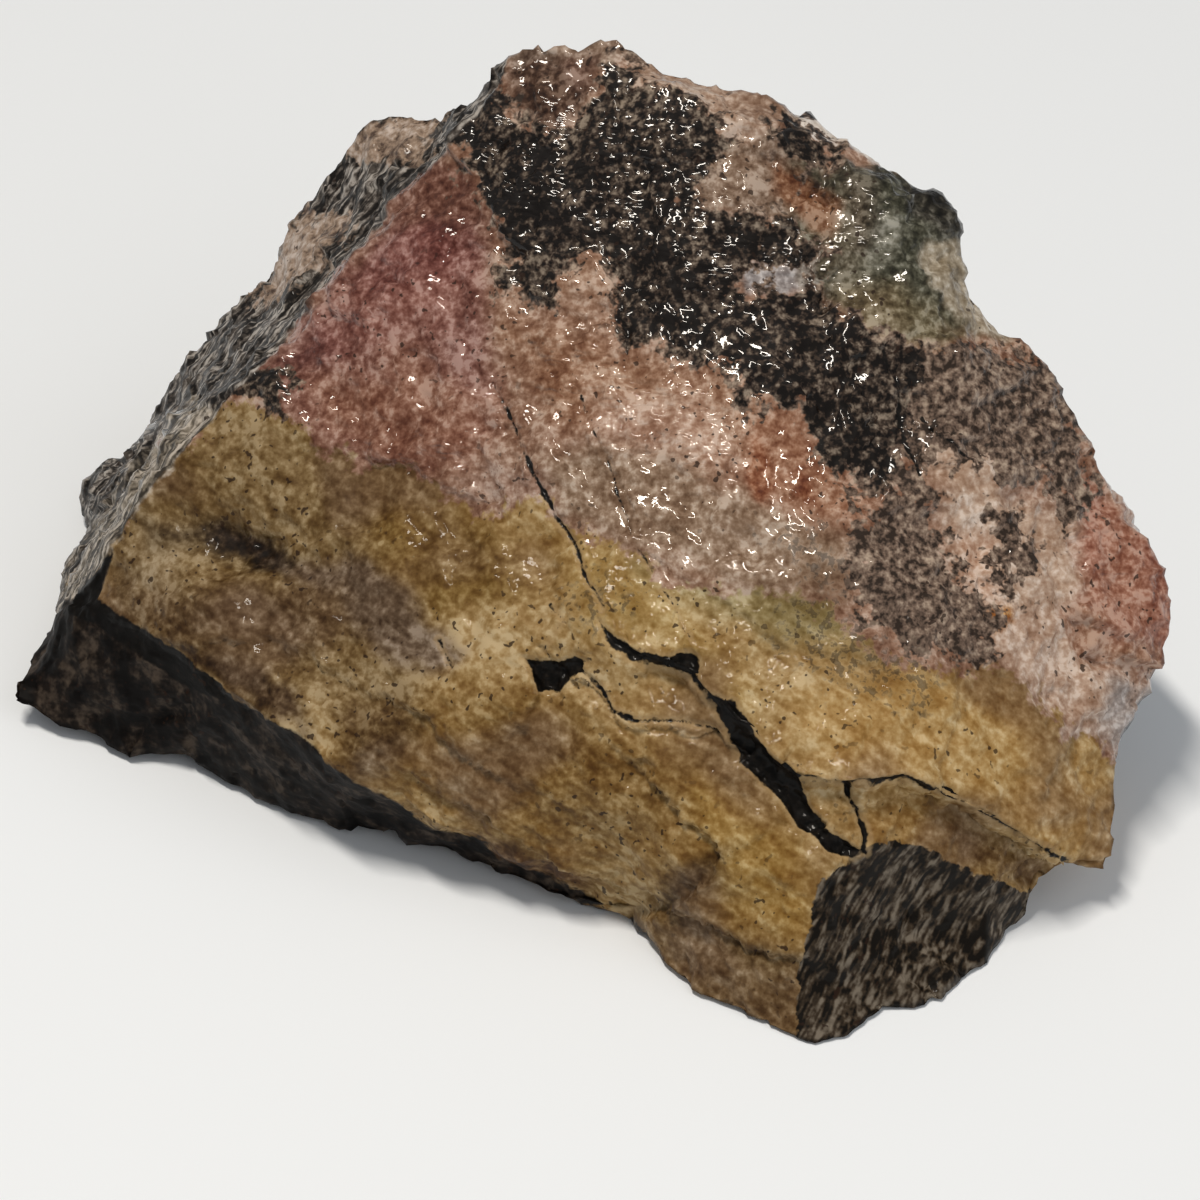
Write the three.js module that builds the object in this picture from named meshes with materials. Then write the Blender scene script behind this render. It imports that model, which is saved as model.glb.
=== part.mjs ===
// A rough block of rhodonite, broken from a vein: one stone, lying on its flat side.
// Millimetres, +Z up. The origin is under the middle of the stone, on the table.

import * as THREE from 'three';
import { ImprovedNoise } from 'three/addons/math/ImprovedNoise.js';

// Driving dimensions. The visible side is described as it is seen by an eye that looks
// along +Y and down: every point has a distance across and up in the picture plane,
// and a depth, out towards the eye. The picture plane stands TABLE_DROP above the table.
const EYE_ELEVATION = THREE.MathUtils.degToRad(40);
const EYE_DISTANCE = 600;
const TABLE_DROP = 33.9;

// The middle of the stone's length and depth, seen from the point that the eye looks at.
const STONE_MIDDLE = [-1.3, 17];

// The longest edge that a triangle may have, on the side that shows and on the hidden one.
const SEEN_EDGE = 3.2;
const HIDDEN_EDGE = 6;

// The step at the black seam: how far the upper slab stands out over the lower one.
const SLAB_STEP = 2.6;

// How far the hidden side stands off a tip that only the silhouette's own corners make.
const TIP_BODY = 1.6;

// Roughness of the break, as pairs of lump size and height.
const SEEN_RELIEF = [[19, 0.9], [8, 0.7], [3.6, 0.35]];
const HIDDEN_RELIEF = [[24, 2.4], [10, 1.5], [4.5, 0.5]];
const RIDGE_HEIGHT = 0.4;
const NOISE_SHIFT = 7.3;
const OUTLINE_CALM = 0.35;
const SMOOTHING_PASSES = 3;
const SMOOTHING_SHARE = 0.45;

// Halving a line until the triangles follow it takes a few rounds. More than this means
// that the line leaves the silhouette.
const MOST_ROUNDS = 12;

const SIN = Math.sin(EYE_ELEVATION);
const COS = Math.cos(EYE_ELEVATION);

// The silhouette, clockwise from the peak, as [across, up, out].
const UPPER_OUTLINE = [
  [0, 56.1, -18], [1.8, 56.2, -18], [3.2, 54.8, -17.5], [6.5, 53.1, -17], [10, 52, -16.5],
  [16.5, 50.1, -16], [19, 49.1, -16], [24, 46.5, -16], [25, 45.2, -15.5], [30.5, 41.9, -15],
  [34, 40.4, -15], [36.2, 37.6, -15], [36, 34.4, -14.5], [36.7, 32, -14.5], [40, 26.8, -15],
  [41.5, 26.4, -15.5], [45, 23.7, -16], [46.7, 20.2, -16], [48.3, 15.8, -16.5], [52, 9.5, -17],
  [55.5, 4.8, -18], [57.3, 0, -18], [57, -3.5, -17.5], [56.4, -6.3, -17], [54, -10.5, -15.5],
  [51.8, -14, -14], [51.4, -18.5, -13], [51.7, -20.5, -12.5], [50.5, -27.2, -11.5],
  [46.8, -26.6, -11], [45, -28, -12],
];

// The foot of the stone, where its height over the table is known, as [across, up, rise].
const LOWER_OUTLINE = [
  [43.5, -29.8, 3.5], [42.7, -31.7, 0.9], [40.5, -33, 0.6], [38.5, -36, 0.5], [35.8, -37.4, 0.6],
  [33.5, -40.1, 0.4], [29, -40.5, 0.5], [24.8, -43.4, 0.4], [21.5, -44.3, 0.3], [19.7, -43.8, 0.4],
  [12.5, -40.5, 0.5], [9.7, -39.3, 0.6], [6.2, -36.2, 0.8], [2.7, -32.2, 1.4], [0, -31.5, 1.2],
  [-5.5, -30, 0.9], [-10, -27.9, 0.8], [-14.5, -25.5, 1.1], [-18, -24.7, 1], [-20.5, -23.6, 1.2],
  [-25.5, -23, 0.8], [-34, -20.1, 0.8], [-38, -17.9, 1], [-41.5, -15.7, 1.3], [-47, -15.6, 1],
  [-50, -13.9, 1.4], [-54, -12.6, 1.8], [-58.2, -10, 3.6], [-58.4, -9.5, 4.4], [-58, -8, 4.6],
  [-56.2, -5, 4], [-55.2, -3, 3.4], [-53.3, 3, 2.6], [-51.3, 7, 1.8], [-52, 10.3, 2.2],
  [-51.5, 11.8, 4], [-49.2, 14.2, 6], [-47.5, 14, 6.5],
];

// The left flank goes far back, so its silhouette is a ragged edge behind the arris.
const LEFT_OUTLINE = [
  [-45, 17.5, -57], [-41.5, 24, -52], [-36, 30.5, -49], [-34.5, 31, -48], [-32, 35.2, -46],
  [-30.5, 37.8, -45], [-26, 44, -41], [-24.3, 46.7, -39], [-23, 47.7, -38], [-20, 48.5, -36.5],
  [-16.8, 48.2, -34], [-15.7, 47.9, -32], [-12, 50.8, -25], [-10, 53, -22], [-7.8, 55.2, -19.5],
  [-3.5, 55.4, -18.5], [-2.2, 54.7, -18],
];

// Sharp edges of the side that shows, each as [across, up, out].
const LEFT_ARRIS = [
  [-7.8, 55.2, -19.5], [-12, 49, -20.5], [-15.5, 45, -21], [-19.5, 40.8, -21.5], [-25, 34.2, -22.5],
  [-29, 30, -23.5], [-31, 26, -24], [-36, 21.5, -25], [-42.8, 15, -26.5], [-47.5, 7.5, -28],
  [-51.8, 1.2, -30.5], [-54.6, -3.4, -34],
];
const RIB_EDGE = [
  [-15.7, 47.9, -32], [-20, 43.5, -29.5], [-23, 39.5, -30], [-27, 34, -31], [-30.5, 29.5, -32],
  [-34.5, 25.5, -32.5], [-38.5, 21.5, -33.5], [-43.4, 16, -34.5], [-48, 9, -36.5], [-51.2, 4, -39],
];
const RIM_EDGE = [
  [4, 52.5, -14.5], [10, 49.8, -13], [16, 47, -12], [20, 44.6, -11.6], [25, 41.8, -11], [30, 39.8, -11],
  [34, 37.6, -12],
];
const LOWER_ARRIS = [
  [-49, 4.8, -28.5], [-50, 2, -29], [-50.3, -0.8, -28], [-46, -2.5, -24], [-44, -4.5, -22],
  [-40.3, -7, -19], [-37.5, -9.2, -17], [-33, -11.8, -14.5], [-29.5, -13.5, -13], [-26.5, -16.5, -12],
  [-21, -20, -11], [-17, -22.8, -10.5], [-12.5, -24.2, -10.2], [-10, -26.2, -10.3], [-5.5, -28.2, -11.5],
  [-2, -29.8, -12.8],
];
const FRONT_ARRIS = [
  [26.5, -25, 1.6], [23.5, -27, 2], [21.5, -29.5, 2], [21.3, -31.5, 1.8], [20.3, -35, 1.5],
  [19.8, -41, 0.4],
];
const GREY_FACE_TOP = [
  [26.5, -25, 1.6], [28, -24.5, 1.2], [33, -25.2, -1.2], [34.5, -26.2, -2.2], [40, -28.3, -6.5],
];

// The lip of the upper slab, and how far below the lip its foot is seen.
const SLAB_LIP = [
  [2.5, -4.5, 0.8], [6, -6.5, 1.8], [8.5, -7.2, 2.4], [11.5, -10, 3.4], [13.5, -12.5, 3.8],
  [16.5, -15, 4.2], [19.5, -17.2, 4.4], [23.5, -18.2, 4.4], [27, -17.8, 4], [30.5, -17.6, 3.2],
  [34, -19.3, 1.6], [38, -21.2, -0.9], [42, -23.5, -4], [46, -25.9, -8],
];
const FOOT_ACROSS = -0.8;
const FOOT_UP = -1.3;

// Swells and hollows of the side that shows, as [across, up, out].
const UPPER_FACE = [
  [-4, 45, -14.5], [4, 47, -13], [12, 45, -11], [20, 42, -10.5], [29, 37, -9.5], [33, 30, -9],
  [-10, 40, -15.5], [0, 36, -10.5], [10, 33, -8], [20, 31, -7], [28, 25, -6], [38, 22, -9],
  [-17, 33, -17], [-10, 27, -12.5], [0, 22, -7.5], [10, 20, -4.5], [20, 22, -4.5], [33, 14, -5],
  [42, 14, -10], [46, 8, -11.5], [50, 0, -12], [-24, 24, -18.5], [-17, 18, -14.5], [-8, 15, -9],
  [3, 10, -4], [12, 9, -2], [22, 8, -1.5], [30, 4, -2.5], [38, 4, -6], [45, -4, -8.5],
  [52, -5, -12.5], [-4, 4, -4.5], [6, 1, -0.8], [15, -3, 1.6], [24, -5, 1.6], [33, -8, 0],
  [41, -10, -4], [47, -15, -8], [20, -11, 3.2], [28, -13, 2.8], [36, -15.5, 0.2], [44, -20, -5.5],
];
const LOWER_FACE = [
  [-28, 19, -20], [-35, 16, -22.5], [-40, 12, -24.5], [-26, 12, -17.5], [-33, 10, -20.5],
  [-42.5, 7.2, -26.8], [-39.5, 5.4, -25.4], [-36, 4.6, -23.4], [-32, 3.6, -20.2],
  [-46, 3, -26], [-41, 1.2, -20.8], [-35, 0, -17.8], [-28, -1.5, -14], [-15, 10, -11.8],
  [-21, 4, -12.4], [-13, 3, -8.6], [-41, -3.2, -19.6], [-35.5, -7, -16.6], [-28, -8, -12.4],
  [-20, -7, -8.8], [-31, -12, -13.4], [-25, -13.5, -10.2], [-19, -15.5, -7.6], [-14, -12, -5.4],
  [-9, -4.5, -4.6], [-5, -11, -2.6], [1, -8.5, -0.8], [-11, -20, -6.6], [-4, -19, -3.2],
  [-6, -25, -7.2], [1, -26, -5.8], [5, -21, -0.8], [8, -14.5, 0.6], [15, -25, 1.2],
  [4, -30.5, -6.6], [10, -30.5, -1.6], [8.5, -35, -4.8], [14, -35.5, -1], [18, -30, 1.6],
  [20, -23, 1.8], [23, -21.8, 1.8], [30, -21.5, 0.4],
];
const UNDERCUT = [
  [-54, -6, -31.5], [-51, -9, -31], [-45, -10, -27.5], [-37, -14.5, -24], [-30, -18.4, -20.5],
  [-23, -21.7, -18.4], [-15, -24.9, -16.4],
];
const LEFT_FLANK = [
  [-18, 46.5, -32], [-21.5, 44.5, -33.5], [-26, 39.5, -39], [-28.5, 36, -38], [-31, 33, -38.5],
  [-34, 28.5, -41], [-38, 25, -44], [-41, 20.5, -46.5], [-45, 14.5, -49], [-49, 9.5, -50],
];
const GREY_FACE = [
  [24, -33, -1.2], [24, -39, -1], [29, -30, -2.6], [30, -36, -4.4], [35, -33, -7.4], [38.5, -31, -9],
];

// The hidden side, in the stone's own directions: [x, y, height over the table].
const BACK_ARRIS = [[-3, 53, 62], [-7, 59, 49], [-14, 62, 33], [-18, 62, 15], [-20, 58.5, 2]];
const RIGHT_ARRIS = [[34, 39, 47], [39, 40, 37], [45, 40, 22], [48, 36, 8], [46.5, 34, 1.5]];
const BACK = [
  [-50, 53, 6], [-42, 58, 12], [-32, 59, 24], [-30, 61, 8], [-23, 60, 40], [5, 56, 48], [14, 52, 52],
  [6, 55, 30], [20, 50, 36], [31, 43, 43], [34, 43, 24], [20, 50, 14], [2, 58, 10], [36, 43, 6],
  [54, 24, 20], [52, 14, 10], [50, 29, 30], [49, 3, 5], [47, -6, 4],
];
const REST_FACE = [
  [21, -22.5], [31, -18], [39, -8], [13, -18], [4, -8.5], [-9, -0.5], [-25, 6.5], [-37, 12],
  [-47, 19], [-54, 30], [-52, 42], [-44, 51], [-21, 56], [2, 52], [22, 45], [43, 33],
  [48, 20], [45, 5], [25, 0], [0, 20], [-28, 28], [25, 25], [0, 38],
];

// A point known by its height over the table is moved along its sight line to that height.
function standing([across, up, rise]) {
  const out = (rise - TABLE_DROP - up * COS) / (SIN - (up * COS) / EYE_DISTANCE);
  return [across, up, out];
}

// The picture plane position of a point in the stone's own directions.
function fromBehind([x, y, height]) {
  const z = height - TABLE_DROP;
  const out = z * SIN - y * COS;
  const closer = EYE_DISTANCE / (EYE_DISTANCE - out);
  return [x * closer, (y * SIN + z * COS) * closer, out];
}

// The way back, from the picture plane into the stone's own directions.
function intoStone([across, up, out]) {
  const farther = (EYE_DISTANCE - out) / EYE_DISTANCE;
  const rise = up * farther;
  return new THREE.Vector3(across * farther, rise * SIN - out * COS, rise * COS + out * SIN + TABLE_DROP);
}

function footOfSlab(lip) {
  return lip.slice(1).map(([across, up, out]) => [across + FOOT_ACROSS, up + FOOT_UP, out - SLAB_STEP]);
}

// What a corner can be: on the silhouette, or on a sharp edge of either side.
const OUTLINE_CREASE = { outline: true, sharp: true };
const SEEN_CREASE = { sharp: true };
const HIDDEN_CREASE = { hidden: true, sharp: true };

// Corners of the stone, each kept once, with what it is: on the outline, on a sharp edge,
// hidden, or on the face that it rests on.
class Corners {
  constructor() {
    this.list = [];
    this.places = new Map();
  }

  add(point, traits = {}) {
    const key = `${point[0].toFixed(2)},${point[1].toFixed(2)}`;
    if (!this.places.has(key) || traits.hidden) {
      this.places.set(traits.hidden ? `${key},hidden` : key, this.list.length);
      this.list.push({ point, outline: false, sharp: false, hidden: false, rest: false, ...traits });
      return this.list.length - 1;
    }
    const index = this.places.get(key);
    Object.assign(this.list[index], traits);
    return index;
  }
}

// The triangle's circle holds the point when this is above zero. Corners run anticlockwise.
function circleHolds(a, b, c, p) {
  const rows = [a, b, c].map(([x, y]) => [x - p[0], y - p[1]]);
  const square = rows.map(([x, y]) => x * x + y * y);
  return (
    square[0] * (rows[1][0] * rows[2][1] - rows[2][0] * rows[1][1]) -
    square[1] * (rows[0][0] * rows[2][1] - rows[2][0] * rows[0][1]) +
    square[2] * (rows[0][0] * rows[1][1] - rows[1][0] * rows[0][1])
  );
}

// Delaunay triangles of corners in the picture plane, by adding one corner at a time.
function delaunay(corners, members) {
  const far = 10 * EYE_DISTANCE;
  const frame = [[-far, -far], [far, -far], [0, far]];
  const at = (i) => (i < 0 ? frame[-1 - i] : corners[i].point);
  let triangles = [[-1, -2, -3]];
  for (const index of members) {
    const point = at(index);
    const open = [];
    const kept = [];
    for (const triangle of triangles) {
      const [a, b, c] = triangle;
      if (circleHolds(at(a), at(b), at(c), point) > 0) {
        open.push([a, b], [b, c], [c, a]);
      } else {
        kept.push(triangle);
      }
    }
    const backwards = new Set(open.map(([a, b]) => `${b},${a}`));
    const rim = open.filter(([a, b]) => !backwards.has(`${a},${b}`));
    triangles = kept.concat(rim.map(([a, b]) => [a, b, index]));
  }
  return triangles.filter((triangle) => triangle.every((i) => i >= 0));
}

// Whether the middle of a triangle is inside the silhouette.
function insideOutline(corners, loop, triangle) {
  const mean = (i) => triangle.reduce((sum, corner) => sum + corners[corner].point[i], 0) / triangle.length;
  const [x, y] = [mean(0), mean(1)];
  let inside = false;
  for (let i = 1; i < loop.length; i += 1) {
    const [ax, ay] = corners[loop[i]].point;
    const [bx, by] = corners[loop[i - 1]].point;
    if (ay > y !== by > y && x < ((bx - ax) * (y - ay)) / (by - ay) + ax) {
      inside = !inside;
    }
  }
  return inside;
}

const edgeKey = (a, b) => (a < b ? `${a},${b}` : `${b},${a}`);

function edgesOf(triangles) {
  return new Set(triangles.flatMap(([a, b, c]) => [edgeKey(a, b), edgeKey(b, c), edgeKey(c, a)]));
}

function edgesAlong(lines) {
  return new Set(lines.flatMap((line) => line.slice(1).map((corner, i) => edgeKey(line[i], corner))));
}

function middle(corners, a, b, traits) {
  const point = [0, 1, 2].map((i) => (corners.list[a].point[i] + corners.list[b].point[i]) / 2);
  return corners.add(point, traits);
}

// Halves the pieces of a line that the triangles don't follow. True when one was halved.
function halveMissing(corners, line, edges, traits) {
  let halved = false;
  for (let i = line.length - 1; i > 0; i -= 1) {
    if (!edges.has(edgeKey(line[i - 1], line[i]))) {
      line.splice(i, 0, middle(corners, line[i - 1], line[i], traits));
      halved = true;
    }
  }
  return halved;
}

// The front and the hidden sheet of triangles, which share the outline's corners.
function twoSheets() {
  const corners = new Corners();
  const addAll = (points, traits) => points.map((point) => corners.add(point, traits));
  const outline = [...UPPER_OUTLINE, ...LOWER_OUTLINE.map(standing), ...LEFT_OUTLINE];
  const loop = addAll(outline, OUTLINE_CREASE);
  loop.push(loop[0]);
  const seenLines = [
    LEFT_ARRIS, RIB_EDGE, RIM_EDGE, LOWER_ARRIS, FRONT_ARRIS, GREY_FACE_TOP,
    SLAB_LIP, footOfSlab(SLAB_LIP),
  ].map((line) => addAll(line, SEEN_CREASE));
  const hiddenLines = [BACK_ARRIS, RIGHT_ARRIS].map((line) => addAll(line.map(fromBehind), HIDDEN_CREASE));
  addAll([...UPPER_FACE, ...LOWER_FACE, ...UNDERCUT, ...LEFT_FLANK, ...GREY_FACE]);
  addAll(BACK.map(fromBehind), { hidden: true });
  addAll(REST_FACE.map(([x, y]) => fromBehind([x, y, 0])), { hidden: true, rest: true });

  const sheet = (hidden) => {
    const members = [...corners.list.keys()].filter((i) => {
      const corner = corners.list[i];
      return corner.outline || corner.hidden === hidden;
    });
    return delaunay(corners.list, members).filter((triangle) => insideOutline(corners.list, loop, triangle));
  };
  let front = [];
  let back = [];
  let changed = true;
  for (let round = 0; changed && round < MOST_ROUNDS; round += 1) {
    front = sheet(false);
    back = sheet(true);
    const shown = edgesOf(front);
    const unseen = edgesOf(back);
    const both = new Set([...shown].filter((key) => unseen.has(key)));
    changed = halveMissing(corners, loop, both, OUTLINE_CREASE);
    seenLines.forEach((line) => {
      changed = halveMissing(corners, line, shown, SEEN_CREASE) || changed;
    });
    hiddenLines.forEach((line) => {
      changed = halveMissing(corners, line, unseen, HIDDEN_CREASE) || changed;
    });
    changed = changed || fillTips(corners, back, edgesAlong([loop]));
  }
  const triangles = [...front, ...back.map(([a, b, c]) => [a, c, b])];
  return { corners: corners.list, triangles, sharpEdges: edgesAlong([loop, ...seenLines, ...hiddenLines]) };
}

// Where the hidden sheet would lie flat between two corners of the silhouette, it gets a
// corner of its own behind them, so that each tip has a body. True when one was added.
function fillTips(corners, back, loopEdges) {
  const chords = new Set();
  for (const triangle of back) {
    const isOutline = triangle.map((i) => corners.list[i].outline);
    if (isOutline.every((outline) => outline)) {
      [0, 1, 2].forEach((side) => chords.add(edgeKey(triangle[side], triangle[(side + 1) % 3])));
    }
  }
  const inner = [...chords].filter((key) => !loopEdges.has(key));
  for (const key of inner) {
    const [start, end] = key.split(',').map((i) => corners.list[i].point);
    const [across, up, out] = start.map((value, i) => (value + end[i]) / 2);
    corners.add([across, up, out - TIP_BODY], { hidden: true });
  }
  return inner.length > 0;
}

// Halves every edge that is too long, until none is, and keeps sharp edges sharp.
function refine(stone) {
  const longest = (a, b) => {
    const hiddenShare = [a, b].filter((i) => stone.vertices[i].hidden).length / 2;
    return SEEN_EDGE + (HIDDEN_EDGE - SEEN_EDGE) * hiddenShare;
  };
  for (let changed = true; changed;) {
    const halves = new Map();
    const lengthOf = (a, b) => stone.vertices[a].place.distanceTo(stone.vertices[b].place);
    for (const [a, b, c] of stone.triangles) {
      const sides = [[a, b], [b, c], [c, a]].sort((s, t) => lengthOf(...t) - lengthOf(...s));
      const [i, j] = sides[0];
      const key = edgeKey(i, j);
      if (halves.has(key) || lengthOf(i, j) <= longest(i, j)) {
        continue;
      }
      const [start, end] = [stone.vertices[i], stone.vertices[j]];
      const sharp = stone.sharpEdges.has(key);
      const vertex = {
        place: start.place.clone().add(end.place).multiplyScalar(0.5),
        outline: sharp && start.outline && end.outline,
        sharp,
        hidden: start.hidden || end.hidden,
        rest: start.rest && end.rest,
      };
      halves.set(key, stone.vertices.length);
      stone.vertices.push(vertex);
      if (sharp) {
        stone.sharpEdges.delete(key);
        stone.sharpEdges.add(edgeKey(i, halves.get(key))).add(edgeKey(j, halves.get(key)));
      }
    }
    changed = halves.size > 0;
    stone.triangles = stone.triangles.flatMap((triangle) => splitTriangle(triangle, halves, lengthOf));
  }
}

// One triangle cut along the middles of its sides, however many of them are halved.
function splitTriangle([a, b, c], halves, lengthOf) {
  const [ab, bc, ca] = [[a, b], [b, c], [c, a]].map(([i, j]) => halves.get(edgeKey(i, j)));
  const count = [ab, bc, ca].filter((i) => i !== undefined).length;
  if (count === 0) {
    return [[a, b, c]];
  }
  if (count === 3) {
    return [[a, ab, ca], [ab, b, bc], [ca, bc, c], [ab, bc, ca]];
  }
  if (ab === undefined || (count === 2 && ca === undefined)) {
    return splitTriangle([b, c, a], halves, lengthOf);
  }
  if (count === 1) {
    return [[a, ab, c], [ab, b, c]];
  }
  const around = lengthOf(ab, c) < lengthOf(ca, b) ? [[ab, b, c], [ab, c, ca]] : [[ab, b, ca], [b, c, ca]];
  return [[a, ab, ca], ...around];
}

function neighboursOf(stone) {
  const neighbours = stone.vertices.map(() => new Set());
  for (const [a, b, c] of stone.triangles) {
    neighbours[a].add(b).add(c);
    neighbours[b].add(c).add(a);
    neighbours[c].add(a).add(b);
  }
  return neighbours;
}

// Rounds the swells between the sharp edges, which stay where they are.
function smooth(stone) {
  const neighbours = neighboursOf(stone);
  for (let pass = 0; pass < SMOOTHING_PASSES; pass += 1) {
    const moved = stone.vertices.map((vertex, index) => {
      if (vertex.sharp || vertex.rest) {
        return vertex.place;
      }
      const mean = new THREE.Vector3();
      neighbours[index].forEach((i) => mean.add(stone.vertices[i].place));
      mean.divideScalar(neighbours[index].size);
      return vertex.place.clone().lerp(mean, SMOOTHING_SHARE);
    });
    moved.forEach((place, index) => {
      stone.vertices[index].place = place;
    });
  }
}

function vertexNormals(stone) {
  const normals = stone.vertices.map(() => new THREE.Vector3());
  for (const triangle of stone.triangles) {
    const [a, b, c] = triangle.map((i) => stone.vertices[i].place);
    const face = b.clone().sub(a).cross(c.clone().sub(a));
    triangle.forEach((i) => normals[i].add(face));
  }
  return normals.map((normal) => normal.normalize());
}

// The broken surface: sharp little ridges and dull hollows, at three lump sizes. Each size
// reads the noise at a place of its own, so that their ridges don't line up.
function roughen(stone) {
  const noise = new ImprovedNoise();
  const normals = vertexNormals(stone);
  stone.vertices.forEach((vertex, index) => {
    if (vertex.rest) {
      return;
    }
    const relief = vertex.hidden ? HIDDEN_RELIEF : SEEN_RELIEF;
    const { x, y, z } = vertex.place;
    let lift = 0;
    relief.forEach(([size, height], step) => {
      const swell = Math.abs(noise.noise(x / size + NOISE_SHIFT * step, y / size, z / size));
      lift += (RIDGE_HEIGHT - 2 * swell) * height;
    });
    const calm = vertex.outline ? OUTLINE_CALM : 1;
    vertex.moved = vertex.place.clone().addScaledVector(normals[index], lift * calm);
    vertex.moved.z = Math.max(vertex.moved.z, 0);
  });
  stone.vertices.forEach((vertex) => {
    vertex.place = vertex.moved ?? vertex.place;
  });
}

function rhodoniteGeometry() {
  const { corners, triangles, sharpEdges } = twoSheets();
  const vertices = corners.map(({ point, ...traits }) => ({ ...traits, place: intoStone(point) }));
  const stone = { vertices, triangles, sharpEdges };
  refine(stone);
  smooth(stone);
  roughen(stone);

  const geometry = new THREE.BufferGeometry();
  const places = stone.vertices.flatMap(({ place }) => place.toArray());
  geometry.setAttribute('position', new THREE.Float32BufferAttribute(places, 3));
  geometry.setIndex(stone.triangles.flat());
  geometry.translate(-STONE_MIDDLE[0], -STONE_MIDDLE[1], 0);
  geometry.computeVertexNormals();
  return geometry;
}

const dustyRose = new THREE.MeshStandardMaterial({ color: 0x9a7466, roughness: 0.35, metalness: 0 });

const rhodonite = new THREE.Mesh(rhodoniteGeometry(), dustyRose);
rhodonite.name = 'rhodonite_stone';

const specimen = new THREE.Group();
specimen.add(rhodonite);

export default specimen;
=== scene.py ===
# %% [markdown]
# A rough block of rhodonite.
# The real stone is one lump of rock, broken on every side and wet. Dusty rose rhodonite,
# black manganese oxide, honey-brown and grey-green minerals run through it.
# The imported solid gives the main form. This lesson lays a finer mesh over it, works the
# broken relief into that mesh, marks where each mineral lies, and gives it one wet material.

# %% Load the frame
import math
import random

import bmesh
import bpy
import numpy as np
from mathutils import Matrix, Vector, noise
from mathutils.bvhtree import BVHTree
from mathutils.kdtree import KDTree


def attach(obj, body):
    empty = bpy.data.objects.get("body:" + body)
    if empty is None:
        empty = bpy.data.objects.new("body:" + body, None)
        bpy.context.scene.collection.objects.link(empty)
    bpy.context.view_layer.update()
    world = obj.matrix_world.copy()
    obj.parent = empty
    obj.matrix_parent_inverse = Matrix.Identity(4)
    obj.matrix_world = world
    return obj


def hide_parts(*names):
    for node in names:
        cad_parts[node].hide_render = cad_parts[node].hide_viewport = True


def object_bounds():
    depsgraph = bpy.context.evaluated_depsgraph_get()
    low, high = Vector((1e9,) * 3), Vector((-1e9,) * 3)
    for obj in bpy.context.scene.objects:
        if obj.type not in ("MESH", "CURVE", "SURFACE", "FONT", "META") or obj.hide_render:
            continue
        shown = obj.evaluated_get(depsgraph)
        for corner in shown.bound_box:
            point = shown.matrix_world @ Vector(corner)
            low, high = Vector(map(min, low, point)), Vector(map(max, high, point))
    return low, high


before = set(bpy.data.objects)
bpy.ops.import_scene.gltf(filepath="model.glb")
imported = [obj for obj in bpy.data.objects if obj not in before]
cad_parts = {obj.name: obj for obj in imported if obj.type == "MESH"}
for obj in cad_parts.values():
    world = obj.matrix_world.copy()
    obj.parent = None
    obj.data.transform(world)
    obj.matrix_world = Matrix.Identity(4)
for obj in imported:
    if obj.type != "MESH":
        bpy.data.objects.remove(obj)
cad_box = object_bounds()
stone_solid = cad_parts["rhodonite_stone"]
MM = 0.001
print("CAD box", cad_box)

# %% [markdown]
# The eye.
# The camera stands where the photographer's did: 600 mm away, looking down by 40 degrees.
# At that distance one pixel of the 1200-pixel photograph covers 0.1 mm of the stone. The
# solid was measured along the same sight lines, so a place read in the photograph can be
# found on the stone by drawing the line from the eye through it.

# %% Place the eye
EYE_ELEVATION = math.radians(40)
EYE_DISTANCE = 600.0
SIGHT_CENTRE = np.array([1.3, -17.0, 33.9])
PHOTO_PIXELS = 1200
PIXEL = 0.1
SIN = math.sin(EYE_ELEVATION)
COS = math.cos(EYE_ELEVATION)
EYE = SIGHT_CENTRE + EYE_DISTANCE * np.array([0.0, -COS, SIN])
SENSOR_WIDTH = 36.0


def in_sight(points):
    """Points (mm) as the eye sees them: mm across, up and out towards the eye."""
    offset = points - SIGHT_CENTRE
    up = offset[:, 1] * SIN + offset[:, 2] * COS
    out = -offset[:, 1] * COS + offset[:, 2] * SIN
    closer = EYE_DISTANCE / (EYE_DISTANCE - out)
    return np.column_stack((offset[:, 0] * closer, up * closer, out))


def from_pixels(pixels):
    """Pixels of the photograph as mm across and up from its middle."""
    places = np.array(pixels, float)
    half = PHOTO_PIXELS / 2
    return np.column_stack((places[:, 0] - half, half - places[:, 1])) * PIXEL


camera_data = bpy.data.cameras.new("eye")
camera_data.sensor_width = SENSOR_WIDTH
camera_data.lens = SENSOR_WIDTH * EYE_DISTANCE / (PHOTO_PIXELS * PIXEL)
camera = bpy.data.objects.new("eye", camera_data)
camera.location = Vector(EYE * MM)
camera.rotation_euler = (math.pi / 2 - EYE_ELEVATION, 0, 0)
bpy.context.scene.collection.objects.link(camera)
bpy.context.scene.camera = camera
print("lens", round(camera_data.lens), "mm")

# %% [markdown]
# The fine mesh.
# A broken face is flat from a step away and jagged close up. The solid's triangles are about
# 3 mm wide, which is too coarse for that. Splitting every triangle in four, and those that
# the eye sees once more, gives edges under a millimetre there. A modifier would split all of
# the stone alike, so the splitting is done by hand, and the triangles go where they are seen.

# %% Split the solid's triangles
# Corners closer than this (m) are one corner.
WELD = 1e-6
# What lies less than this (mm) behind the side that the eye sees belongs to it.
SKIN_DEPTH = 1.0


def depth_behind(points, tree):
    """How far points (mm) lie behind the side that the eye sees: 0 on that side."""
    behind = np.zeros(len(points))
    eye = Vector(EYE)
    for index, point in enumerate(points):
        way = Vector(point) - eye
        distance = way.length
        first_distance = tree.ray_cast(eye, way / distance)[3]
        if first_distance is not None:
            behind[index] = max(distance - first_distance, 0.0)
    return behind


def places_of(mesh):
    return np.array([vertex.co for vertex in mesh.verts]) / MM


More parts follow.
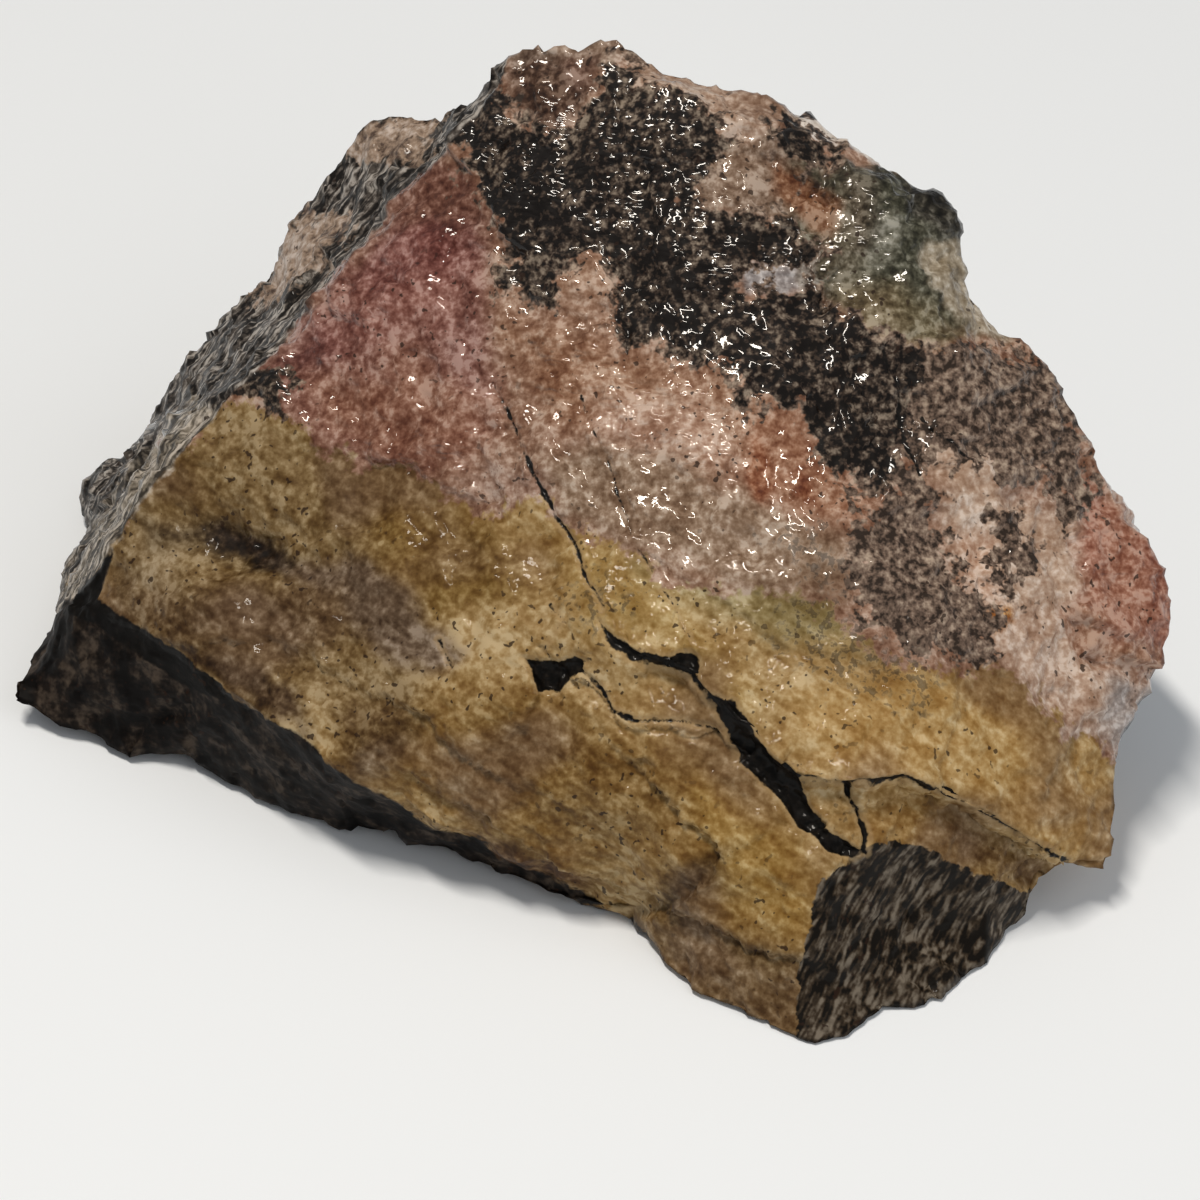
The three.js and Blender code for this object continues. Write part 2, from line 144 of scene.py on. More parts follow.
def split_between(mesh, chosen):
    """Splits the edges whose two ends are both chosen."""
    edges = [edge for edge in mesh.edges if all(chosen[end.index] for end in edge.verts)]
    bmesh.ops.subdivide_edges(mesh, edges=edges, cuts=1, use_grid_fill=True)
    bmesh.ops.triangulate(mesh, faces=mesh.faces[:])


fine = bmesh.new()
fine.from_mesh(stone_solid.data)
bmesh.ops.remove_doubles(fine, verts=fine.verts, dist=WELD)
solid_tree = BVHTree.FromPolygons(
    [Vector(place) for place in places_of(fine)],
    [[vertex.index for vertex in face.verts] for face in fine.faces],
)
split_between(fine, np.ones(len(fine.verts), bool))
split_between(fine, depth_behind(places_of(fine), solid_tree) < SKIN_DEPTH)
print("triangles", len(fine.faces))

# %% [markdown]
# Cracks and scarps.
# Cracks, seams and little scarps are what make a broken face look broken. Each is a line
# drawn on the photograph with a few points, and a width and depth in millimetres. Where
# they run, the triangles are split once more so that a crack can be narrow.

# %% Name the cracks and scarps
# Each crack: its line in pixels, half its width and its depth in mm.
CRACKS = {
    "long_crack": ([(490, 382), (496, 400), (510, 425), (522, 452), (534, 482), (546, 502), (560, 522),
                    (572, 545), (584, 566), (590, 588), (602, 612)], 0.13, 0.3),
    "faint_crack": ([(578, 392), (592, 425), (606, 455), (620, 492), (640, 545), (668, 600), (692, 645)],
                    0.0, 0.22),
    "branch": ([(798, 776), (815, 781), (835, 783), (850, 790), (857, 805), (866, 830), (866, 850)],
               0.28, 0.6),
    "low_line": ([(578, 664), (592, 680), (604, 690), (610, 708), (632, 716), (660, 718), (690, 718),
                  (706, 726), (718, 738)], 0.14, 0.4),
    "right_line": ([(835, 786), (870, 780), (905, 776), (940, 794), (980, 813), (1020, 836), (1060, 861)],
                   0.22, 0.5),
    "upper_thread": ([(546, 600), (560, 620), (548, 642), (540, 652)], 0.08, 0.2),
    "curl_thread": ([(926, 418), (935, 432), (950, 442), (964, 456)], 0.12, 0.2),
    "dark_thread": ([(884, 352), (896, 380), (904, 410), (906, 440), (922, 470)], 0.14, 0.25),
    "dash": ([(438, 640), (452, 666)], 0.15, 0.3),
}
# Each scarp: its line in pixels, how far its right-hand side drops, and how fast that fades.
SCARPS = {
    "hollow": ([(200, 530), (240, 548), (290, 562), (330, 575)], -0.25, 6.0),
    "low_step": ([(575, 672), (600, 690), (613, 714), (680, 720), (720, 742)], 0.9, 5.0),
    "purple_step": ([(430, 790), (480, 815), (520, 845), (560, 868), (592, 878)], 0.8, 3.0),
    "ragged_step": ([(640, 905), (700, 925), (760, 950), (800, 965)], 1.0, 4.0),
    "right_step": ([(860, 800), (905, 790), (950, 818), (1000, 845), (1040, 862)], 0.9, 3.0),
    "boss_step": ([(1060, 590), (1075, 620), (1090, 655), (1120, 668), (1165, 668)], 1.4, 3.5),
    "green_step": ([(832, 170), (826, 215), (820, 260), (832, 296)], 0.9, 4.0),
    "rust_step": ([(690, 160), (740, 150), (790, 170), (830, 200)], 0.8, 4.0),
    "black_step": ([(560, 250), (600, 246), (622, 262), (614, 300), (620, 345)], -0.6, 3.0),
    "honey_step": ([(330, 447), (400, 466), (445, 478), (490, 500)], 0.6, 4.0),
    "under_seam": ([(660, 790), (700, 830), (720, 860), (700, 900), (640, 920)], 1.2, 5.0),
    "sheet_step": ([(220, 640), (300, 650), (380, 690), (440, 740), (520, 790)], 0.7, 6.0),
    "middle_step": ([(640, 545), (720, 600), (800, 650), (880, 660)], 0.5, 6.0),
}
# The seam's black filling: outlines in pixels.
OXIDE_BODIES = {
    "seam_head": [(598, 620), (612, 628), (622, 640), (642, 652), (664, 659), (690, 655), (702, 662),
                  (694, 672), (706, 688), (696, 690), (680, 674), (655, 669), (630, 659), (610, 644)],
    "seam": [(702, 690), (722, 698), (738, 703), (748, 724), (760, 742), (778, 758), (797, 771),
             (803, 790), (816, 812), (833, 834), (862, 850), (852, 860), (832, 852), (814, 840),
             (797, 820), (784, 802), (764, 780), (744, 764), (730, 745), (720, 724), (712, 706)],
    "patch": [(520, 656), (552, 664), (576, 655), (588, 660), (570, 674), (560, 690), (542, 692),
              (528, 674)],
}


def along(places, line):
    """Distance (mm) of places to a line drawn in pixels, and on which side: right is above 0."""
    corners = from_pixels(line)
    nearest = np.full(len(places), np.inf)
    side = np.zeros(len(places))
    for start, end in zip(corners[:-1], corners[1:]):
        way = end - start
        share = np.clip((places[:, :2] - start) @ way / (way @ way), 0, 1)
        offset = places[:, :2] - (start + share[:, None] * way)
        distance = np.hypot(offset[:, 0], offset[:, 1])
        closer = distance < nearest
        nearest[closer] = distance[closer]
        turn = way[1] * offset[:, 0] - way[0] * offset[:, 1]
        side[closer] = np.sign(turn[closer])
    return nearest, side


# Keeps the slope of a level edge from dividing by zero.
TINY = 1e-9


def inside_by(places, outline):
    """How far (mm) places are inside an outline drawn in pixels. Outside is below 0."""
    corners = from_pixels(outline + outline[:1])
    distance = along(places, outline + outline[:1])[0]
    within = np.zeros(len(places), bool)
    for start, end in zip(corners[:-1], corners[1:]):
        crosses = (start[1] > places[:, 1]) != (end[1] > places[:, 1])
        slope = (end[0] - start[0]) / (end[1] - start[1] + TINY)
        within ^= crosses & (places[:, 0] < start[0] + slope * (places[:, 1] - start[1]))
    return np.where(within, distance, -distance)


def in_oxide(places):
    """How far (mm) places are inside a crack or a filled seam."""
    deepest = np.full(len(places), -np.inf)
    for line, half_width, _ in CRACKS.values():
        deepest = np.maximum(deepest, half_width - along(places, line)[0])
    for outline in OXIDE_BODIES.values():
        deepest = np.maximum(deepest, inside_by(places, outline))
    return deepest


# Triangles within this distance (mm) of a crack or the seam are split once more.
LINE_SPLIT = 0.9
places = places_of(fine)
near_line = (in_oxide(in_sight(places)) > -LINE_SPLIT) & (depth_behind(places, solid_tree) < SKIN_DEPTH)
split_between(fine, near_line)
print("triangles with the lines", len(fine.faces))

# %% [markdown]
# Smoothing.
# The split triangles still lie in the flat facets of the solid. Moving each corner towards
# the mean of its neighbours melts the facets together. The arrises, where two broken faces
# meet, are real sharp edges, so corners on an edge that turns by more than 48 degrees keep
# their place, and so does the flat underside.

# %% Melt the facets together
SMOOTH_PASSES = 6
SMOOTH_SHARE = 0.5
ARRIS_TURN = math.radians(48)
REST_HEIGHT = 0.02

fine.normal_update()
places = places_of(fine)
ends = np.array([[edge.verts[0].index, edge.verts[1].index] for edge in fine.edges])
held = places[:, 2] < REST_HEIGHT
for edge in fine.edges:
    if edge.is_manifold and edge.calc_face_angle() > ARRIS_TURN:
        held[[edge.verts[0].index, edge.verts[1].index]] = True
neighbour_count = np.bincount(ends.ravel(), minlength=len(places))


def mean_of_neighbours(values):
    total = np.zeros_like(values)
    np.add.at(total, ends[:, 0], values[ends[:, 1]])
    np.add.at(total, ends[:, 1], values[ends[:, 0]])
    return total / neighbour_count[:, None]


for _ in range(SMOOTH_PASSES):
    moved = places + SMOOTH_SHARE * (mean_of_neighbours(places) - places)
    places = np.where(held[:, None], places, moved)
print("held corners", int(held.sum()), "of", len(places))

# %% [markdown]
# Borders that wander.
# Nothing in a rock runs straight. Before the drawn outlines are used, every corner's place
# in the photograph is shifted a little by smooth noise: by about a millimetre in waves of a
# centimetre, and by less in waves of 3 and 1.5 mm. Cracks and the seam run straighter, so
# they take less than half of the shift. A groove and its black filling take the same share,
# so they stay together.

# %% Shift the places in sight
# Pairs of wave length and largest shift in mm.
WANDER = [(9.0, 1.3), (3.4, 0.9), (1.5, 0.5)]
CRACK_WANDER_SHARE = 0.45
SEED = 41

# Blender seeds this noise from the clock unless it is told a seed.
noise.seed_set(SEED)
sight = in_sight(places)
wander = np.zeros((len(places), 2))
for length, reach in WANDER:
    wander += reach * np.array([noise.noise_vector(Vector(place) / length)[:2] for place in places])
wandered = sight.copy()
wandered[:, :2] += wander
crack_sight = sight.copy()
crack_sight[:, :2] += CRACK_WANDER_SHARE * wander
behind = depth_behind(places, solid_tree)
print("largest shift", np.hypot(wander[:, 0], wander[:, 1]).max().round(2), "mm")

# %% [markdown]
# Relief.
# Broken rhodonite is hackly: it breaks in small tilted planes with steps between them, at
# every size from a centimetre to the grain. Cells round scattered seeds, each tilted its own
# way, give such planes. Folded noise adds the rounder pits and ridges. Both are worked into
# the mesh down to 1.5 mm, and the grains, which are finer, are left to the material's bump.

# %% Work in the relief, cracks and scarps
# Each size in mm, with its height in mm on the seen side and on the hidden sides.
FOLDS = [(7.0, 0.2, 0.5), (3.2, 0.16, 0.28), (1.5, 0.09, 0.12)]
PLANES = [(8.0, 0.06, 0.09), (3.6, 0.075, 0.1), (1.9, 0.07, 0.07)]
CALM_LIFT = 0.15
SEAM_DEPTH = 0.8
# How far (mm) beyond its black filling the groove of a crack and of the seam reaches.
CRACK_WALL = 0.15
SEAM_WALL = 0.4
STEEPEST_TILT = 1.6
# The honey-coloured lower sheet broke smoother than the rest: its outline in pixels.
HONEY_SHEET = [(90, 560), (130, 500), (200, 410), (250, 390), (300, 428), (335, 452), (400, 468), (445, 482),
               (480, 512), (540, 512), (590, 538), (640, 552), (675, 592), (720, 592), (790, 582), (850, 630),
               (880, 665), (940, 655), (1000, 668), (1035, 690), (1062, 712), (1092, 742), (1135, 775),
               (1200, 800), (1200, 1200), (560, 1200), (0, 900), (0, 600)]
SHEET_CALM = 0.4
SHEET_FADE = 3.0


def normals_of(places):
    for vertex, place in zip(fine.verts, places):
        vertex.co = Vector(place * MM)
    fine.normal_update()
    return np.array([vertex.normal for vertex in fine.verts])


def folded(places, size, shift):
    """Folded noise between about -1 and 1 at each place, with ridges that stand out."""
    values = [noise.noise(Vector(place) / size + Vector((shift, 0, 0))) for place in places]
    return 1 - 3 * np.abs(np.array(values))


def tilted_planes(places, size):
    """Height in mm, per unit of slope, of planes about so wide, each tilted its own way."""
    dice = random.Random(SEED + round(size * 10))
    low = places.min(axis=0)
    high = places.max(axis=0)
    count = int(np.prod((high - low) / size))
    seeds = [Vector([dice.uniform(low[k], high[k]) for k in range(3)]) for _ in range(count)]
    tilts = [Vector([dice.uniform(-STEEPEST_TILT, STEEPEST_TILT) for _ in range(3)]) for _ in range(count)]
    finder = KDTree(count)
    for index, seed in enumerate(seeds):
        finder.insert(seed, index)
    finder.balance()
    heights = np.zeros(len(places))
    for row, place in enumerate(places):
        seed, index, _ = finder.find(Vector(place))
        heights[row] = tilts[index].dot(Vector(place) - seed)
    return heights


hidden = np.clip(behind / SKIN_DEPTH - 1, 0, 1)
in_sheet = np.clip(inside_by(wandered, HONEY_SHEET) / SHEET_FADE + 0.5, 0, 1)
seen_share = (1 - hidden) * (1 - SHEET_CALM * in_sheet)
lift = np.full(len(places), -CALM_LIFT)
for step, (size, seen_height, hidden_height) in enumerate(FOLDS):
    lift += folded(places, size, step) * (seen_height * seen_share + hidden_height * hidden)
for size, seen_slope, hidden_slope in PLANES:
    lift += tilted_planes(places, size) * (seen_slope * seen_share + hidden_slope * hidden)
for line, drop, fade in SCARPS.values():
    distance, side = along(wandered, line)
    lift -= np.where(side * drop > 0, abs(drop) * np.exp(-distance / fade), 0) * (1 - hidden)
for line, half_width, depth in CRACKS.values():
    distance = along(crack_sight, line)[0]
    lift -= depth * np.exp(-(distance / (half_width + CRACK_WALL)) ** 2) * (1 - hidden)
for outline in OXIDE_BODIES.values():
    lift -= SEAM_DEPTH * np.clip(inside_by(crack_sight, outline) + SEAM_WALL, 0, 1) * (1 - hidden)
lift[places[:, 2] < REST_HEIGHT] = 0
places = places + normals_of(places) * lift[:, None]
places[:, 2] = np.maximum(places[:, 2], 0)
normals_of(places)
print("lift from", lift.min().round(2), "to", lift.max().round(2), "mm")

# %% [markdown]
# Colours.
# Colours are written as sRGB hex, as a paint program shows them. The renderer reckons with
# light, so one function turns them to linear values.

# %% Turn hex colours to linear ones
def linear(hex_colour):
    """An sRGB hex colour as linear red, green, blue and alpha."""
    channels = [int(hex_colour[i:i + 2], 16) / 255 for i in (1, 3, 5)]
    return [c / 12.92 if c <= 0.04045 else ((c + 0.055) / 1.055) ** 2.4 for c in channels] + [1.0]


print("a dusty rose in linear light", [round(c, 3) for c in linear("#765148")])

# %% [markdown]
# Painting the corners.
# In the real stone a mineral is a body of grains that runs on inside. So each patch is an
# outline drawn on the photograph and carried straight through the stone, and the back shows
# the same minerals as the front. Where one colour melts into the next over a few
# millimetres, the mesh is fine enough to hold the mix, so it is painted on the corners.

# %% Helpers for painting
def share_inside(outline, soft):
    """1 well inside an outline, 0 well outside, and a smooth change soft mm to each side."""
    share = np.clip(inside_by(wandered, outline) / (2 * soft) + 0.5, 0, 1)
    return share * share * (3 - 2 * share)


def painted(ground, patches):
    """Colours of the corners: patches of colour laid over a ground colour."""
    colours = np.tile(linear(ground), (len(places), 1))
    for colour, soft, outline in patches.values():
        share = share_inside(outline, soft)[:, None]
        colours = colours * (1 - share) + np.array(linear(colour)) * share
    return colours


# %% [markdown]
# Pink rhodonite and its neighbours.
# The mineral itself is manganese silicate. Manganese makes it rose red where it is pure, and
# salmon, tan or lilac grey where it is mixed with feldspar and quartz. Along the top the
# break runs through tan feldspar and white quartz, and iron has stained a few spots rusty.

# %% Paint the upper minerals
UPPER_GROUND = "#8A6C5A"
# Each patch: its colour, how soft its border is in mm, and its outline in pixels.
UPPER_PATCHES = {
    "rose": ("#724D45", 2.2, [(432, 162), (300, 318), (262, 372), (300, 425), (350, 455), (430, 462),
                              (480, 440), (492, 380), (498, 310), (480, 240), (462, 192)]),
    "rose_heart": ("#764B44", 2.6, [(400, 230), (330, 310), (310, 350), (380, 350), (450, 320),
                                    (470, 270), (440, 230)]),
    "rose_tip": ("#6C493C", 1.2, [(432, 158), (395, 210), (400, 232), (440, 225), (474, 215), (468, 180)]),
    "salmon_left": ("#825C4B", 2.6, [(300, 380), (420, 360), (490, 400), (480, 470), (380, 462),
                                     (310, 425)]),
    "salmon": ("#8B6953", 2.4, [(510, 330), (620, 345), (700, 362), (760, 400), (760, 445), (640, 440),
                                (540, 420)]),
    "column": ("#8C6E5B", 0.9, [(556, 262), (612, 256), (614, 300), (622, 345), (560, 345)]),
    "pale_middle": ("#9E806E", 2.6, [(590, 390), (700, 390), (740, 450), (720, 500), (620, 480)]),
    "lilac_middle": ("#8A7461", 2.4, [(530, 470), (600, 440), (700, 470), (780, 500), (860, 540),
                                      (850, 600), (740, 590), (640, 545), (560, 520)]),
    "lilac_left": ("#8B6F60", 2.0, [(470, 470), (540, 480), (560, 520), (480, 500)]),
    "blush": ("#8C6650", 1.6, [(740, 420), (800, 408), (830, 455), (872, 490), (868, 520), (810, 510),
                               (750, 480)]),
    "rust_spot": ("#7C4E36", 0.5, [(750, 462), (760, 432), (770, 445), (780, 482), (766, 500), (750, 485)]),
    "rust_dash": ("#7C4E36", 0.4, [(792, 460), (806, 472), (817, 496), (802, 492)]),
    "pale_right": ("#B09987", 1.6, [(925, 430), (985, 440), (1010, 500), (1080, 520), (1100, 580),
                                    (1040, 640), (990, 600), (960, 560), (940, 500)]),
    "pale_wedge": ("#AC8E7A", 1.0, [(950, 530), (1000, 545), (1000, 600), (972, 590)]),
    "lilac_right": ("#A88F7D", 1.4, [(995, 610), (1050, 600), (1090, 650), (1150, 670), (1150, 700),
                                     (1125, 745), (1092, 740), (1040, 700), (1000, 668), (985, 640)]),
    "blue_grey": ("#8F8580", 1.4, [(1112, 690), (1140, 690), (1128, 750), (1100, 735)]),
    "boss": ("#845645", 1.4, [(1085, 480), (1130, 510), (1190, 560), (1190, 640), (1168, 664),
                              (1120, 668), (1085, 655), (1062, 610), (1075, 560)]),
    # Painted shade: the boss's lower right facet, which faces down and to the right, is painted darker.
    "boss_shade": ("#7E5A46", 1.6, [(1060, 590), (1090, 610), (1120, 650), (1170, 655), (1160, 685),
                                    (1110, 680), (1075, 645)]),
    "orange_spot": ("#9A6A38", 0.5, [(992, 604), (1006, 602), (1010, 620), (1000, 634), (990, 622)]),
    "tan_rust": ("#725E4F", 1.2, [(700, 138), (760, 138), (800, 152), (832, 178), (838, 225), (800, 232),
                                  (745, 222), (702, 212), (690, 185)]),
    "green": ("#403F33", 0.8, [(790, 165), (880, 176), (938, 182), (978, 230), (966, 290), (990, 330),
                               (940, 325), (900, 318), (850, 310), (800, 270), (786, 215)]),
    "green_pale": ("#626054", 0.7, [(858, 206), (892, 212), (902, 240), (885, 270), (870, 250), (864, 230)]),
    "green_dark": ("#2A281F", 0.9, [(842, 175), (876, 185), (872, 240), (848, 250)]),
    "cream": ("#948977", 0.6, [(925, 238), (962, 245), (990, 305), (1012, 336), (985, 334), (942, 304),
                               (925, 276)]),
    "white_patch": ("#8A8483", 0.5, [(742, 258), (800, 256), (808, 284), (792, 300), (762, 292),
                                     (744, 284)]),
    "white_side": ("#7A736C", 0.5, [(802, 238), (820, 236), (822, 290), (812, 296), (802, 268)]),
    "corner_shade": ("#2E2B24", 0.7, [(900, 186), (940, 184), (972, 210), (978, 245), (950, 240), (925, 224),
                                      (905, 208)]),
    # The pale rim is white quartz, and the light shining through its thin edge is painted in as extra
    # paleness.
    "rim_white": ("#CFC6BD", 0.5, [(768, 84), (800, 66), (870, 96), (985, 160), (960, 184), (925, 184),
                                   (880, 172), (845, 150), (800, 124), (775, 108)]),
    "moss": ("#5E5540", 1.5, [(835, 285), (900, 285), (945, 318), (1000, 335), (950, 348), (900, 354),
                              (860, 335)]),
    "rust_streak": ("#6B4731", 0.9, [(765, 165), (800, 175), (838, 200), (828, 225), (800, 215),
                                     (770, 195)]),
    "red_rim": ("#70503F", 1.2, [(968, 345), (1000, 335), (1036, 345), (1062, 372), (1060, 410),
                                 (1000, 400)]),
    "rim_pink": ("#927A69", 0.8, [(630, 50), (700, 70), (790, 98), (800, 122), (770, 142), (722, 140),
                                  (690, 102), (648, 80), (622, 62)]),
    "peak_tan": ("#867263", 0.9, [(505, 62), (560, 30), (620, 20), (645, 56), (604, 78), (572, 62),
                                  (520, 82)]),
    "peak_red": ("#2C170E", 1.2, [(528, 64), (575, 60), (584, 92), (566, 128), (530, 122), (508, 98),
                                  (514, 80)]),
    "peak_shade": ("#5A4136", 1.0, [(560, 60), (598, 58), (590, 90), (570, 84)]),
}
upper_colours = painted(UPPER_GROUND, UPPER_PATCHES)
print("upper patches", len(UPPER_PATCHES))

# %% [markdown]
# The honey sheet.
# The lower half is a sheet of yellow-brown mica and iron-stained feldspar. It split along
# the sheet, so it is smoother than the rest and streaked the way the sheet was torn. Its
# left end is olive, and lilac-grey bands cross it. Painted shade darkens its hollows, its
# lower part, its olive end and the creases below.

# %% Paint the honey sheet
LOWER_GROUND = "#8E7349"
LOWER_PATCHES = {
    "honey_left": ("#70562B", 2.5, [(300, 430), (420, 460), (480, 520), (520, 600), (430, 620), (370, 560),
                                    (330, 490)]),
    "honey_bright": ("#8F7444", 2.5, [(560, 540), (640, 552), (690, 620), (760, 700), (740, 720),
                                      (660, 650), (580, 620)]),
    "honey_right": ("#9A7B4B", 2.5, [(790, 690), (900, 680), (1000, 680), (1090, 760), (1110, 860),
                                     (1060, 860), (960, 790), (850, 770), (790, 740)]),
    "yellow_green": ("#82724C", 2.0, [(640, 560), (700, 540), (760, 550), (860, 560), (868, 650),
                                      (800, 640), (700, 610), (660, 590)]),
    # Painted shade: the lower part of the sheet, which faces down, is painted darker.
    "honey_shade": ("#7C6036", 2.4, [(450, 650), (560, 690), (620, 725), (700, 735), (760, 785),
                                     (830, 860), (820, 900), (800, 1060), (600, 930), (440, 830),
                                     (330, 760), (330, 680)]),
    "low_glow": ("#6B5029", 3.0, [(480, 700), (600, 740), (680, 800), (640, 850), (540, 830), (440, 760)]),
    "under_seam": ("#8C6E3B", 2.0, [(700, 760), (760, 800), (820, 870), (800, 930), (740, 900),
                                    (700, 840)]),
    # The olive end is its own colour, and it is also painted darker as shade.
    "olive": ("#665030", 3.0, [(90, 560), (130, 490), (200, 400), (265, 400), (330, 450), (365, 500),
                               (380, 580), (440, 650), (420, 720), (330, 700), (220, 670), (100, 625)]),
    "olive_light": ("#725E41", 1.6, [(110, 560), (150, 520), (170, 560), (140, 600), (110, 600)]),
    # Painted shade: the hollow at the left end, darkest at its heart.
    "hollow_shade": ("#2E2111", 1.8, [(140, 520), (200, 520), (250, 538), (310, 560), (290, 572), (240, 562),
                                    (190, 550), (150, 540)]),
    "hollow_shade_heart": ("#1B1109", 0.9, [(205, 524), (250, 538), (292, 556), (284, 571), (244, 563),
                                      (210, 548)]),
    "olive_brown": ("#523E27", 2.0, [(110, 570), (180, 580), (240, 600), (200, 640), (120, 620)]),
    "lilac_sheet": ("#584737", 1.3, [(280, 565), (345, 560), (400, 595), (470, 655), (440, 672),
                                     (380, 645), (320, 612)]),
    "pink_sheet": ("#57422B", 1.8, [(205, 590), (335, 590), (345, 640), (300, 660), (235, 635)]),
    # Painted shade in the concave brown places at the left and in the middle of the sheet.
    "shade_left": ("#3B2A19", 1.5, [(180, 632), (225, 650), (300, 690), (310, 735), (270, 722),
                                    (225, 694), (195, 670)]),
    "shade_middle": ("#4C371D", 2.0, [(330, 700), (400, 688), (412, 750), (380, 775), (350, 770)]),
    "purple_rib": ("#4B321A", 0.9, [(478, 845), (500, 850), (545, 868), (592, 880), (582, 900),
                                    (520, 888), (490, 868)]),
    "foot": ("#614B31", 1.8, [(620, 925), (680, 920), (760, 945), (806, 965), (806, 1060), (700, 1010)]),
    # Painted shade along the crease and the ragged step at the foot.
    "crease_shade": ("#4E391D", 1.5, [(655, 880), (700, 862), (735, 850), (712, 890), (680, 925), (640, 920)]),
    "ragged_step_shade": ("#523E24", 1.0, [(690, 930), (760, 945), (806, 960), (806, 985), (740, 965)]),
    "lip": ("#87693D", 0.7, [(862, 795), (905, 790), (945, 815), (950, 850), (900, 846), (870, 840)]),
    # Painted shade under the ledge's overhanging lip.
    "lip_shade": ("#5E4628", 0.9, [(945, 830), (1000, 845), (1050, 868), (1040, 892), (990, 876),
                                   (950, 862)]),
    "right_corner": ("#A98E62", 0.8, [(1040, 860), (1065, 870), (1058, 892), (1036, 890)]),
}
lower_colours = painted(LOWER_GROUND, LOWER_PATCHES)
print("lower patches", len(LOWER_PATCHES))

# %% [markdown]
# Bodies with crisp borders.
# Black oxide against pink stone is a border of single grains, sharper than the mesh. For
# such bodies the mesh keeps a number on each corner: how many millimetres it lies inside.
# The material frays that number with fine noise before it cuts it at zero, so the border
# comes out as ragged as the grains, however coarse the mesh is.

# %% Outline the crisp bodies
FIELD_REACH = 8.0
BODIES = {
    "honey": [HONEY_SHEET],
    "black": [
        [(455, 128), (490, 98), (520, 122), (562, 134), (590, 98), (600, 72), (625, 66), (645, 80),
         (690, 100), (702, 125), (725, 145), (700, 165), (690, 190), (700, 215), (740, 222), (780, 225),
         (815, 240), (822, 262), (790, 256), (740, 262), (735, 282), (760, 300), (800, 296), (835, 300),
         (850, 325), (875, 345), (905, 352), (930, 348), (925, 385), (908, 420), (900, 455), (885, 482),
         (872, 470), (850, 468), (835, 460), (822, 440), (805, 405), (770, 402), (742, 400), (738, 372),
         (700, 355), (690, 338), (650, 338), (620, 348), (610, 320), (612, 292), (620, 262), (600, 250),
         (572, 252), (558, 265), (562, 290), (552, 312), (530, 300), (512, 285), (505, 250), (495, 225),
         (480, 205), (470, 185), (475, 160)],
        [(776, 122), (806, 122), (828, 138), (828, 166), (802, 170), (778, 156)],
        [(240, 385), (262, 368), (290, 392), (284, 402), (258, 398)],
    ],
    "brown": [
        [(930, 345), (1005, 350), (1040, 352), (1068, 382), (1078, 430), (1094, 480), (1094, 515),
         (1060, 500), (1040, 480), (1005, 490), (985, 465), (960, 470), (925, 455), (905, 430),
         (925, 385)],
        [(885, 465), (905, 452), (930, 480), (942, 515), (955, 560), (972, 588), (1002, 600), (1005, 622),
         (990, 640), (1000, 660), (930, 652), (880, 642), (856, 605), (858, 540), (870, 515), (885, 500)],
        [(800, 390), (850, 340), (905, 345), (960, 345), (985, 390), (960, 425), (925, 455), (905, 495),
         (880, 490), (850, 475), (820, 445)],
        [(990, 520), (1012, 515), (1032, 560), (1020, 592), (1000, 580)],
        [(1055, 488), (1082, 484), (1086, 520), (1070, 540), (1056, 515)],
    ],
    "pepper": [
        [(780, 590), (840, 600), (900, 648), (960, 655), (950, 690), (900, 705), (830, 690), (790, 650)],
        [(780, 520), (830, 515), (850, 560), (840, 600), (800, 600)],
        [(560, 590), (600, 580), (640, 600), (620, 625), (580, 620)],
    ],
    "flank": [
        [(515, 40), (509, 75), (480, 111), (455, 141), (405, 191), (355, 256), (325, 286), (275, 351),
         (245, 381), (215, 411), (160, 476), (110, 546), (82, 589), (62, 608), (40, 655), (14, 700),
         (-40, 700), (-40, 440), (100, 380), (300, 60), (440, 40)],
    ],
    # A painted highlight: the strip along the flank's arris that catches the light at a grazing angle.
    "flank_highlight": [
        [(56, 612), (66, 580), (84, 548), (112, 494), (152, 442), (196, 398), (212, 410), (160, 476),
         (110, 546), (82, 589), (66, 612)],
    ],
    "flank_lumps": [
        [(345, 150), (368, 112), (446, 108), (440, 132), (404, 162), (372, 160)],
        [(255, 300), (270, 255), (300, 208), (352, 212), (330, 262), (292, 300)],
    ],
    "underside": [
        [(112, 550), (97, 604), (112, 622), (140, 630), (165, 652), (200, 674), (225, 696), (270, 721),
         (305, 738), (335, 768), (358, 784), (392, 804), (430, 831), (475, 844), (500, 865), (545, 885),
         (578, 899), (602, 917), (560, 1000), (300, 960), (-60, 800), (0, 690), (60, 606), (86, 586)],
    ],
    "gloss_band": [
        [(108, 552), (98, 600), (140, 626), (200, 670), (232, 698), (235, 712), (190, 692), (150, 664),
         (90, 622), (62, 612), (86, 580)],
    ],
    "slate": [
        [(866, 848), (885, 842), (930, 850), (945, 862), (1000, 882), (1040, 896), (1080, 930),
         (1000, 1000), (940, 1060), (860, 1100), (797, 1100), (798, 980), (805, 950), (812, 915),
         (815, 894), (823, 878), (845, 867)],
    ],
}
# These follow arrises, so they don't wander.
BY_THE_ARRIS = ("flank", "flank_highlight", "underside", "gloss_band", "slate")
# The black oxide has a brown fringe so many mm wide.
BROWN_FRINGE = 0.6


def field_of(name):
    """How far inside any outline of a body each corner lies, in mm."""
    seen = sight if name in BY_THE_ARRIS else wandered
    fields = [inside_by(seen, outline) for outline in BODIES[name]]
    if name == "brown":
        fields += [inside_by(seen, outline) + BROWN_FRINGE for outline in BODIES["black"]]
    return np.clip(np.max(fields, axis=0), -FIELD_REACH, FIELD_REACH)


# %% [markdown]
# Where the film ripples.
# Water stands in ripples on the rough upper half, and gives bright curls there. On the
# smooth sheet below it lies flat. The mesh keeps a number for that too.

# %% Outline the rippled places
RIPPLE_GROUND = 0.14
